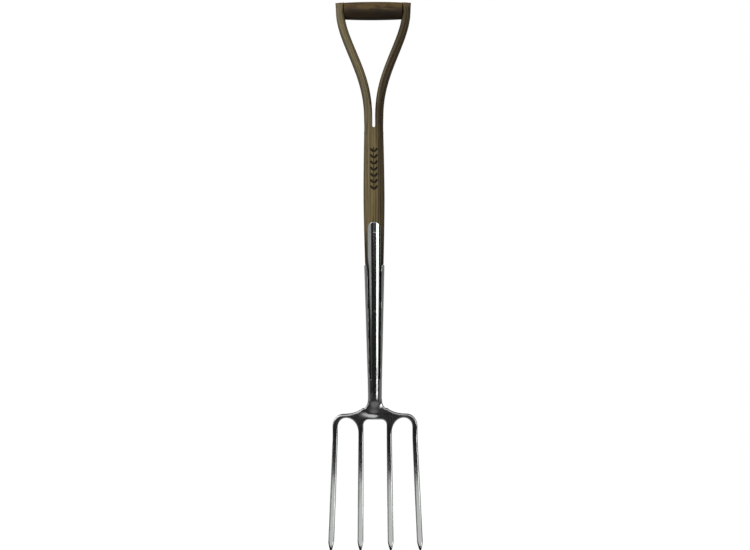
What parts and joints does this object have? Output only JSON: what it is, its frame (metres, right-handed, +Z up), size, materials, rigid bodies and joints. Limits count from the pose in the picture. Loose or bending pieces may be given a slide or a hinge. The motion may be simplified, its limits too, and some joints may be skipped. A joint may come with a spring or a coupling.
{
  "type": "digging fork",
  "caption": "Garden digging fork: split ash Y handle with a turned cross grip, straight shaft, long strapped socket and a polished steel head with forward-curving tines.",
  "frame": {"origin": "middle of the cross grip, on the shaft's axis", "axes": "+Z up the shaft's axis from the points to the grip, -Y to the front, where the tines curve; +X along the cross grip"},
  "size_m": [0.174, 0.057, 1.012],
  "materials": {
    "ash": "satin oiled brown ash",
    "grip_ash": "satin oiled ash, darkened by the hand",
    "rivet_steel": "dull drawn steel",
    "polished_steel": "bright polished stainless steel"
  },
  "bodies": {
    "root": {"ash_shaft": "ash", "cross_grip": "grip_ash", "grip_rod": "rivet_steel", "left_grip_burr": "rivet_steel", "right_grip_burr": "rivet_steel", "crotch_rivet": "rivet_steel", "left_crotch_burr": "rivet_steel", "right_crotch_burr": "rivet_steel", "tine_head": "polished_steel", "rear_strap": "polished_steel", "upper_strap_rivet": "polished_steel", "lower_strap_rivet": "polished_steel"}
  },
  "joints": []
}
